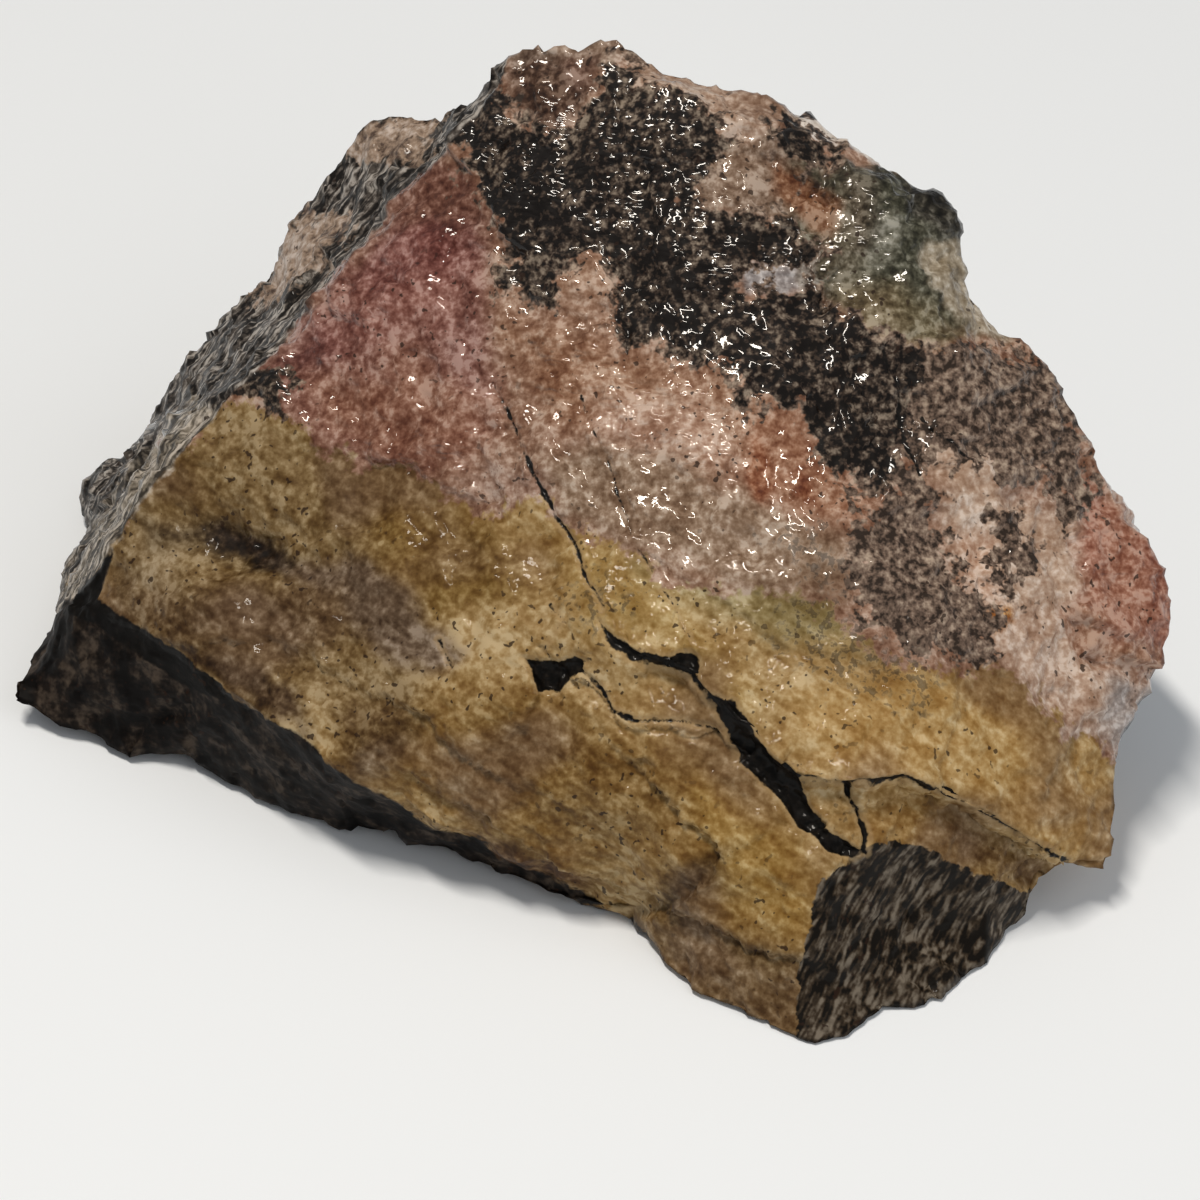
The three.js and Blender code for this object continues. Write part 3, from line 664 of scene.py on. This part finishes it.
# Each place: how strong the ripples are, how soft the border is in mm, and its outline.
RIPPLED = [
    (1.0, 4.0, [(450, 130), (530, 90), (640, 90), (700, 120), (690, 200), (600, 230), (480, 200)]),
    (0.8, 3.0, [(390, 200), (470, 210), (480, 240), (340, 350), (270, 405), (270, 370)]),
    (0.9, 2.0, [(340, 435), (480, 440), (480, 472), (340, 462)]),
    (0.9, 3.0, [(540, 335), (640, 335), (720, 400), (760, 470), (700, 490), (600, 420), (500, 400)]),
    (0.9, 3.0, [(690, 200), (830, 210), (880, 290), (820, 310), (690, 290)]),
    (0.8, 3.0, [(840, 170), (950, 190), (960, 240), (880, 300), (840, 280)]),
    (1.0, 3.0, [(1000, 370), (1075, 370), (1080, 460), (1010, 465)]),
    (0.7, 3.0, [(880, 630), (1010, 640), (1005, 690), (880, 690)]),
    (0.7, 2.0, [(540, 570), (610, 570), (610, 610), (540, 600)]),
    (0.8, 3.0, [(1040, 480), (1160, 540), (1165, 600), (1080, 600)]),
    (0.6, 3.0, [(1110, 680), (1180, 660), (1130, 760), (1100, 740)]),
]
ripples = np.full(len(places), RIPPLE_GROUND)
for strength, soft, outline in RIPPLED:
    share = share_inside(outline, soft)
    ripples = np.maximum(ripples, RIPPLE_GROUND + (strength - RIPPLE_GROUND) * share)
print("mean ripple", ripples.mean().round(2))

# %% [markdown]
# Blotches and crust.
# Grains gather in blotches of about 5 mm, and the sides that face away carry the dark oxide
# crust that rough rhodonite usually has, in patches, with the minerals showing between them.
# Both are coarser than the mesh, so they are worked out once for each corner.

# %% Work out blotches and crust
BLOTCH_WAVE = 10.0
BLOTCH_SWING = 0.36
CRUST_WAVE = 26.0
CRUST_REACH = 22.0
CRUST_SURPLUS = 0.6

blotches = np.array([noise.noise(Vector(place) / BLOTCH_WAVE) for place in places]) * BLOTCH_SWING + 0.5
crust = np.array([noise.noise(Vector(place) / CRUST_WAVE) for place in places]) * CRUST_REACH + CRUST_SURPLUS
print("blotches vary by", blotches.std().round(3), "crust covers", (crust > 0).mean().round(2))

# %% [markdown]
# Onto the mesh.
# The fine mesh becomes the piece that stands for the solid. It carries the two painted
# colours, a field for each crisp body and for the seam, the blotches and the crust, how
# rippled the film is, how far behind the seen side each corner lies, and the corner's place
# as the eye sees it, along which the streaked minerals are drawn out.

# %% Make the piece and store the fields
piece_mesh = bpy.data.meshes.new("rhodonite_surface")
fine.to_mesh(piece_mesh)
fine.free()
piece = bpy.data.objects.new("rhodonite_surface", piece_mesh)
bpy.context.scene.collection.objects.link(piece)
piece_mesh.polygons.foreach_set("use_smooth", [True] * len(piece_mesh.polygons))


def keep(name, values, kind="FLOAT", part="value"):
    field = piece_mesh.attributes.new(name, kind, "POINT")
    field.data.foreach_set(part, np.asarray(values, np.float32).ravel())


for body in BODIES:
    keep(body, field_of(body))
keep("oxide", np.clip(in_oxide(crack_sight), -FIELD_REACH, FIELD_REACH))
keep("behind", np.clip(behind, 0, FIELD_REACH))
keep("ripples", ripples)
keep("blotch", blotches)
keep("crust", crust)
keep("sight", sight, "FLOAT_VECTOR", "vector")
keep("upper_colour", upper_colours, "FLOAT_COLOR", "color")
keep("lower_colour", lower_colours, "FLOAT_COLOR", "color")
print("corners", len(places), "triangles", len(piece_mesh.polygons))

# %% [markdown]
# Nodes.
# A material is a tree of nodes. One small function adds a node with its settings and links
# and gives back an output, so the steps can be nested like sums in a formula.

# %% Add a node
wet_rhodonite = bpy.data.materials.new("wet_rhodonite")
wet_rhodonite.use_nodes = True
tree = wet_rhodonite.node_tree
tree.nodes.clear()
# A Mix node that mixes colours, and its sockets: mask, colour below, colour above, result.
COLOURS = {"data_type": "RGBA"}
MASK, BELOW, ABOVE, MIXED = 0, 6, 7, 2
# A Map Range node that changes smoothly from one end to the other.
SMOOTH = {"interpolation_type": "SMOOTHSTEP"}


def add_node(kind, inputs, output=0, **settings):
    """Adds a node and returns an output. Inputs are a list from the first socket on, or named.

    An input is a number, a colour or another node's output.
    """
    made = tree.nodes.new("ShaderNode" + kind)
    for name, value in settings.items():
        setattr(made, name, value)
    for name, value in inputs.items() if isinstance(inputs, dict) else enumerate(inputs):
        if isinstance(value, bpy.types.NodeSocket):
            tree.links.new(value, made.inputs[name])
        else:
            made.inputs[name].default_value = value
    return made.outputs[output] if made.outputs else made


# The numbers, places and colours that the mesh carries.
stored = {name: add_node("Attribute", [], "Fac", attribute_name=name)
          for name in [*BODIES, "oxide", "behind", "ripples", "blotch", "crust"]}
seen_place = add_node("Attribute", [], "Vector", attribute_name="sight")
upper_paint = add_node("Attribute", [], "Color", attribute_name="upper_colour")
lower_paint = add_node("Attribute", [], "Color", attribute_name="lower_colour")
print("stored fields", len(stored))

# %% [markdown]
# The grain.
# Granular rhodonite has grains of 0.3 to 0.5 mm. A wave of noise is a light and a dark grain
# together, so its length is twice the grain. Slower noise gathers grains in mottles of 2 mm,
# and the blotches of 5 mm come from the mesh. Three more textures are drawn out along a
# direction, as the torn sheet, the ribbed flank and the raked slate face are: 3 to 6 mm long
# and 0.55 to 1 mm wide.

# %% Grain textures
GRAIN_WAVE = 0.85
MOTTLE_WAVE = 3.6

position = add_node("VectorMath", {0: add_node("TexCoord", [], "Object"), "Scale": 1 / MM}, operation="SCALE")
grain = add_node("TexNoise", {"Vector": position, "Scale": 1 / GRAIN_WAVE, "Detail": 2.0, "Roughness": 0.6})
mottle = add_node("TexNoise", {"Vector": position, "Scale": 1 / MOTTLE_WAVE, "Detail": 3.0,
                               "Roughness": 0.65})
blotch = stored["blotch"]


def drawn_out(angle, length_mm, width_mm):
    """Noise drawn out in the direction that the eye sees at this angle from level."""
    turned = add_node("Mapping", {
        "Vector": seen_place, "Rotation": (0, 0, math.radians(angle)),
        "Scale": (length_mm, width_mm, width_mm),
    }, vector_type="TEXTURE")
    return add_node("TexNoise", {"Vector": turned, "Scale": 1.0, "Detail": 1.0, "Roughness": 0.6})


def mixed(*parts):
    """Sums textures about their middle value, 0.5, each with a share of its own."""
    total = 0.5 - sum(share for _, share in parts) / 2
    for texture, share in parts:
        total = add_node("Math", [texture, share, total], operation="MULTIPLY_ADD")
    return total


crystal = mixed((grain, 1.1), (mottle, 1.0), (blotch, 0.4))
salt = mixed((grain, 1.7), (mottle, 0.8), (blotch, 0.4))
dusty = mixed((grain, 1.5), (mottle, 0.5))
waxy = mixed((drawn_out(-34, 5.0, 1.0), 0.75), (mottle, 0.7), (blotch, 0.8), (grain, 0.95))
ribbed = mixed((drawn_out(54, 6.0, 0.55), 1.5), (mottle, 0.7), (grain, 0.9))
raked = mixed((drawn_out(62, 3.0, 0.65), 1.5), (mottle, 1.0), (grain, 0.7))
print("texture nodes", len(tree.nodes))

# %% [markdown]
# Light and dark grains.
# A grain that is thick or dirty is darker and more saturated than its neighbours, and a
# fractured one is paler and greyer. Raising a linear colour to a power does just that, so a
# gamma node turns the painted colour into grains: above 1 darkens, below 1 lightens. The
# borders are frayed by noise of their own, so that all tones of a mineral reach its border.

# %% Colour the two painted minerals
UPPER_CONTRAST = 1.9
LOWER_CONTRAST = 1.3
PALEST_GAMMA = 0.6
FRAY_WAVE = 2.4
FRAY_REACH = 9.0
# Where the noise for borders and flecks is read, in mm from where the grain is.
FRAY_SHIFT = (37.0, 11.0, 23.0)
# Softness of the honey sheet's border in mm, and how strongly the noise frays it.
HONEY_BORDER = (0.55, 0.8)
# How far behind the seen side, in mm, its skin starts to fade and has gone.
SEEN_FADE = (0.8, 2.4)
# Between which values of the blotches the pale and the grey ones grow, and how much they cover.
PALE_STOPS = (0.5, 0.7)
PALE_COVER = 0.1
GREY_STOPS = (0.5, 0.34)
GREY_COVER = 0.55


def grained(colour, texture, contrast):
    """A painted colour as grains: dark and rich where the texture is low, pale where it is high."""
    power = add_node("Math", [texture, -contrast, 1 + contrast / 2], operation="MULTIPLY_ADD")
    power = add_node("Math", [power, PALEST_GAMMA], operation="MAXIMUM")
    return add_node("Gamma", [colour, power])


elsewhere = add_node("VectorMath", [position, FRAY_SHIFT], operation="ADD")
fray_noise = add_node("TexNoise", {"Vector": elsewhere, "Scale": 1 / FRAY_WAVE, "Detail": 3.0,
                                   "Roughness": 0.7})
fray = add_node("Math", [fray_noise, FRAY_REACH, -FRAY_REACH / 2], operation="MULTIPLY_ADD")
seen_skin = add_node("MapRange", [stored["behind"], *SEEN_FADE, 1.0, 0.0], **SMOOTH)
unseen = add_node("Math", [1.0, seen_skin], operation="SUBTRACT")


def body_mask(name, soft, ragged):
    """1 inside a body, cut where its frayed field crosses zero."""
    frayed = add_node("Math", [fray, ragged, stored[name]], operation="MULTIPLY_ADD")
    return add_node("MapRange", [frayed, -soft, soft, 0.0, 1.0], **SMOOTH)


pale_blotch = add_node("MapRange", [blotch, *PALE_STOPS, 0.0, PALE_COVER], **SMOOTH)
grey_blotch = add_node("MapRange", [blotch, *GREY_STOPS, 0.0, GREY_COVER], **SMOOTH)
upper = add_node("Mix", {MASK: pale_blotch, BELOW: upper_paint, ABOVE: linear("#A58468")}, MIXED, **COLOURS)
lower = add_node("Mix", {MASK: grey_blotch, BELOW: lower_paint, ABOVE: linear("#7F6A55")}, MIXED, **COLOURS)
honey_mask = body_mask("honey", *HONEY_BORDER)
colour = add_node("Mix", {MASK: honey_mask, BELOW: grained(upper, crystal, UPPER_CONTRAST),
                          ABOVE: grained(lower, waxy, LOWER_CONTRAST)}, MIXED, **COLOURS)
print("nodes", len(tree.nodes))

# %% [markdown]
# Minerals with crisp borders, and skins.
# Where water reached the pink silicate it turned to black and brown manganese oxides, grain
# by grain. Such ground is salt and pepper: most grains are black, and some are still tan or
# grey. The dark crust on the sides that face away is the same oxide.
# Other faces are covered rather than cut through: the underside with its glossy rim, the
# slate-grey face at the right foot, and the ribbed left flank. The underside's near-black is
# painted shade, with faint mottles of its own. Its glossy rim is black oxide with the
# painted shadow under the sheet's overhanging edge, and a paler strip along the flank's
# arris is a painted highlight. Their colour is only skin deep, so it ends a few millimetres
# behind the side that the eye sees.

# %% Lay on the bodies and skins
def laid_on(below, texture, colours, stops, mask):
    """A mineral of dark, main and light grains over the colour below, where the mask says."""
    ramp = add_node("ValToRGB", [texture]).node
    ramp.color_ramp.elements.new(stops[1])
    for element, stop, grain_colour in zip(ramp.color_ramp.elements, stops, colours):
        element.position = stop
        element.color = linear(grain_colour)
    return add_node("Mix", {MASK: mask, BELOW: below, ABOVE: ramp.outputs[0]}, MIXED, **COLOURS)


# Each: its texture, the colours of its dark, main and light grains with the texture's value
# for each, the softness of its border in mm, and how strongly the noise frays that border.
MINERALS = {
    "brown": (dusty, ("#2A2019", "#68564A", "#AA9886"), (0.32, 0.55, 0.9), 0.35, 1.2),
    "black": (salt, ("#0B0604", "#3A2F27", "#85786A"), (0.43, 0.62, 0.93), 0.3, 0.8),
    "crust": (salt, ("#120D0A", "#3A322B", "#7A7065"), (0.4, 0.6, 0.92), 0.5, 1.5),
    "flank": (ribbed, ("#171412", "#4E4843", "#A8A29B"), (0.34, 0.55, 0.84), 0.12, 0.05),
    # Painted highlight over the flank's own ribbing, along its arris.
    "flank_highlight": (ribbed, ("#37322C", "#736B5F", "#BAB1A5"), (0.28, 0.5, 0.82), 0.6, 0.4),
    "flank_lumps": (crystal, ("#4E3F37", "#94806F", "#C2B4AA"), (0.25, 0.5, 0.8), 0.5, 0.8),
    # The underside is painted near-black as shade, with faint mottles.
    "underside": (mixed((mottle, 1.8), (grain, 0.7)), ("#060403", "#1A1410", "#463C33"),
                  (0.35, 0.55, 0.85), 0.15, 0.12),
    # The glossy rim: black oxide, and the painted shadow under the sheet's overhanging edge.
    "gloss_band": (grain, ("#030201", "#0A0705", "#191510"), (0.3, 0.6, 0.9), 0.15, 0.12),
    "slate": (raked, ("#0E0A06", "#352B20", "#6C6357"), (0.36, 0.56, 0.86), 0.15, 0.3),
}
# How far behind the seen side, in mm, a covered face starts to fade and has gone.
NEAR_FADE = (3.0, 6.0)
near_skin = add_node("MapRange", [stored["behind"], *NEAR_FADE, 1.0, 0.0], **SMOOTH)
# The bodies that don't run through the stone, with where they are seen.
SKIN_DEEP = {"crust": unseen, "flank": near_skin, "flank_highlight": near_skin, "flank_lumps": near_skin,
             "underside": near_skin, "gloss_band": seen_skin, "slate": near_skin}
for name, (texture, colours, stops, soft, ragged) in MINERALS.items():
    mask = body_mask(name, soft, ragged)
    if name in SKIN_DEEP:
        mask = add_node("Math", [mask, SKIN_DEEP[name]], operation="MULTIPLY")
    colour = laid_on(colour, texture, colours, stops, mask)
print("nodes", len(tree.nodes))

# %% [markdown]
# Dust, flecks and the filled seam.
# Flecks of oxide, a fifth to half a millimetre wide, dot the pink and honey ground in swarms,
# and in a few places they are as dense as ground pepper. The seam and the open cracks are
# filled with black oxide. Where they cross the honey sheet their broken lips carry a pale
# painted highlight.

# %% Dust, flecks and seam
FLECK_WAVE = 0.8
# Softness of a peppered place's border in mm, and how strongly the noise frays it.
PEPPER_BORDER = (1.6, 1.4)
# Between which values of the noise each grows, and how much of the ground it covers.
DUST_STOPS = (0.5, 0.6)
DUST_COVER = 0.65
FLECK_STOPS = (0.665, 0.71)
FLECK_COVER = 0.85
SWARM_STOPS = (0.4, 0.6)
SWARM_COVER = (0.1, 1.0)
# How strongly the noise frays the seam, and how far (mm) inside it the painted highlight on
# the lip and the black filling start and are full. Below 0 is outside.
SEAM_FRAY = 0.13
LIP_HIGHLIGHT_STOPS = (-0.55, -0.15)
LIP_HIGHLIGHT_COVER = 0.4
FILLING_STOPS = (-0.1, 0.08)

dust = add_node("MapRange", [grain, *DUST_STOPS, 0.0, DUST_COVER], **SMOOTH)
dust_mask = add_node("Math", [body_mask("pepper", *PEPPER_BORDER), dust], operation="MULTIPLY")
colour = add_node("Mix", {MASK: dust_mask, BELOW: colour, ABOVE: linear("#2B1C10")}, MIXED, **COLOURS)

fleck_noise = add_node("TexNoise", {"Vector": elsewhere, "Scale": 1 / FLECK_WAVE, "Detail": 1.0,
                                    "Roughness": 0.5})
fleck = add_node("MapRange", [fleck_noise, *FLECK_STOPS, 0.0, FLECK_COVER], **SMOOTH)
swarm = add_node("MapRange", [blotch, *SWARM_STOPS, *SWARM_COVER], **SMOOTH)
fleck_mask = add_node("Math", [fleck, swarm], operation="MULTIPLY")
colour = add_node("Mix", {MASK: fleck_mask, BELOW: colour, ABOVE: linear("#24150C")}, MIXED, **COLOURS)

oxide_frayed = add_node("Math", [fray, SEAM_FRAY, stored["oxide"]], operation="MULTIPLY_ADD")
# Painted highlight: a pale edge along the seam's broken lips on the honey sheet.
lip = add_node("MapRange", [oxide_frayed, *LIP_HIGHLIGHT_STOPS, 0.0, LIP_HIGHLIGHT_COVER], **SMOOTH)
lip_highlight_mask = add_node("Math", [lip, honey_mask], operation="MULTIPLY")
lip_highlight_mask = add_node("Math", [lip_highlight_mask, seen_skin], operation="MULTIPLY")
colour = add_node("Mix", {MASK: lip_highlight_mask, BELOW: colour, ABOVE: linear("#A78E68")}, MIXED, **COLOURS)
filling = add_node("MapRange", [oxide_frayed, *FILLING_STOPS, 0.0, 1.0], **SMOOTH)
filling_mask = add_node("Math", [filling, seen_skin], operation="MULTIPLY")
colour = laid_on(colour, grain, ("#040302", "#100C09", "#2B241C"), (0.4, 0.6, 0.9), filling_mask)
print("nodes", len(tree.nodes))

# %% [markdown]
# The wet surface.
# Rhodonite has an index of refraction of 1.72. A film of water, index 1.33, lies on it, so
# light that enters the stone from the film meets a step of only 1.72 / 1.33, or 1.3. That is
# why a wet stone is darker and richer than a dry one. The film is the shader's coat. Its
# ripples are ridges about a millimetre apart, drawn out level, which catch the lamp as short
# bright curls. The tops of the grains show through it a little. One bump holds both, and it
# serves the film and the stone. On the flank, the underside and the honey sheet the film is
# thin or broken, so it covers less there.

# %% Bump and the shader
# Sizes in mm, and the ripples' angle in degrees, as the eye sees it.
RIPPLE_ANGLE = -4
RIPPLE_LENGTH = 4.6
RIPPLE_WIDTH = 1.0
RIPPLE_HEIGHT = 0.56
GRAIN_HEIGHT = 0.07
# How much of the stone the film covers, and how much less on the duller places.
FILM_COVER = 0.95
LESS_ON_FLANK = 0.65
LESS_ON_UNDERSIDE = 0.95
LESS_ON_HONEY = 0.72
# How far (mm) outside and inside a dull place's border the film thins.
THINNING = (-0.2, 0.2)

ripple_place = add_node("Mapping", {
    "Vector": seen_place, "Rotation": (0, 0, math.radians(RIPPLE_ANGLE)),
    "Scale": (RIPPLE_LENGTH, RIPPLE_WIDTH, RIPPLE_WIDTH),
}, vector_type="TEXTURE")
ripple_noise = add_node("TexNoise", {"Vector": ripple_place, "Scale": 1.0, "Detail": 1.0, "Roughness": 0.6})
ridge = add_node("Math", [ripple_noise, 0.5], operation="SUBTRACT")
ridge = add_node("Math", [ridge], operation="ABSOLUTE")
ripple_height = add_node("Math", [ridge, stored["ripples"]], operation="MULTIPLY")
grain_tops = add_node("TexNoise", {"Vector": position, "Scale": 1 / GRAIN_WAVE, "Detail": 0.0})
surface_height = add_node("Math", [grain_tops, GRAIN_HEIGHT / RIPPLE_HEIGHT, ripple_height],
                          operation="MULTIPLY_ADD")
wet_relief = add_node("Bump", {"Strength": 1.0, "Distance": RIPPLE_HEIGHT * MM, "Height": surface_height})
dull_flank = add_node("MapRange", [stored["flank"], *THINNING, 0.0, LESS_ON_FLANK], **SMOOTH)
dull_underside = add_node("MapRange", [stored["underside"], *THINNING, 0.0, LESS_ON_UNDERSIDE], **SMOOTH)
dull_skin = add_node("Math", [dull_flank, dull_underside], operation="MAXIMUM")
dull_skin = add_node("Math", [dull_skin, seen_skin], operation="MULTIPLY")
dull_honey = add_node("Math", [honey_mask, LESS_ON_HONEY], operation="MULTIPLY")
dull = add_node("Math", [dull_skin, dull_honey], operation="MAXIMUM")
film_cover = add_node("Math", [FILM_COVER, dull], operation="SUBTRACT")
shader = add_node("BsdfPrincipled", {
    "Base Color": colour, "Roughness": 0.6, "IOR": 1.3, "Specular IOR Level": 0.25, "Metallic": 0.0,
    "Normal": wet_relief, "Coat Weight": film_cover, "Coat Roughness": 0.05, "Coat IOR": 1.33,
    "Coat Normal": wet_relief})
add_node("OutputMaterial", {"Surface": shader})
piece_mesh.materials.clear()
piece_mesh.materials.append(wet_rhodonite)
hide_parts("rhodonite_stone")
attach(piece, "root")
print("material nodes", len(tree.nodes))

# %% [markdown]
# The studio.
# The stage is one plain pale floor. The main lamp is small and hangs where the upper face
# mirrors it to the eye, which gives the curls of light on the film. A broad soft lamp from
# the right front and a pale room fill the shadows. The broad lamp isn't mirrored, as if it
# shone through a polarising sheet, and the room is kept dim. Otherwise the film would mirror
# them everywhere and turn the black oxide grey.

# %% Floor, lights and background
FLOOR_SIZE = 6.0
ROOM_LIGHT = 0.27
# Each lamp: its place, its width and height (m), its power (W), its tint, and whether the film
# mirrors it.
LAMPS = {
    "curl_lamp": ((-0.14, -0.08, 0.80), 0.30, 0.06, 4.6, "#FFF6EA", True),
    "soft_right": ((0.75, -0.65, 0.55), 1.3, 1.3, 5.5, "#FFFFFF", False),
}


def area_light(name, place, width, height, power, tint, mirrored):
    """A flat lamp, level across its width, that looks at the middle of the stone."""
    data = bpy.data.lights.new(name, "AREA")
    data.shape = "RECTANGLE"
    data.size = width
    data.size_y = height
    data.energy = power
    data.color = linear(tint)[:3]
    lamp = bpy.data.objects.new(name, data)
    lamp.location = place
    aim = Vector((0, 0, cad_box[1][2] / 2)) - Vector(place)
    lamp.rotation_euler = aim.to_track_quat("-Z", "Y").to_euler()
    lamp.visible_glossy = mirrored
    bpy.context.scene.collection.objects.link(lamp)


floor_mesh = bpy.data.meshes.new("pale_floor")
half_floor = FLOOR_SIZE / 2
floor_mesh.from_pydata([(-half_floor, -half_floor, 0), (half_floor, -half_floor, 0),
                        (half_floor, half_floor, 0), (-half_floor, half_floor, 0)], [], [(0, 1, 2, 3)])
floor = bpy.data.objects.new("pale_floor", floor_mesh)
bpy.context.scene.collection.objects.link(floor)
pale_paper = bpy.data.materials.new("pale_paper")
pale_paper.use_nodes = True
paper_shader = pale_paper.node_tree.nodes["Principled BSDF"]
paper_shader.inputs["Base Color"].default_value = linear("#E9EEF3")
paper_shader.inputs["Roughness"].default_value = 0.9
floor_mesh.materials.append(pale_paper)

for lamp_name, settings in LAMPS.items():
    area_light(lamp_name, *settings)

sky = bpy.data.worlds.new("pale_room")
sky.use_nodes = True
sky.node_tree.nodes["Background"].inputs["Color"].default_value = linear("#F5F5F5")
sky.node_tree.nodes["Background"].inputs["Strength"].default_value = ROOM_LIGHT
bpy.context.scene.world = sky
bpy.context.scene.view_settings.view_transform = "Standard"
print("lights", [item.name for item in bpy.data.lights])
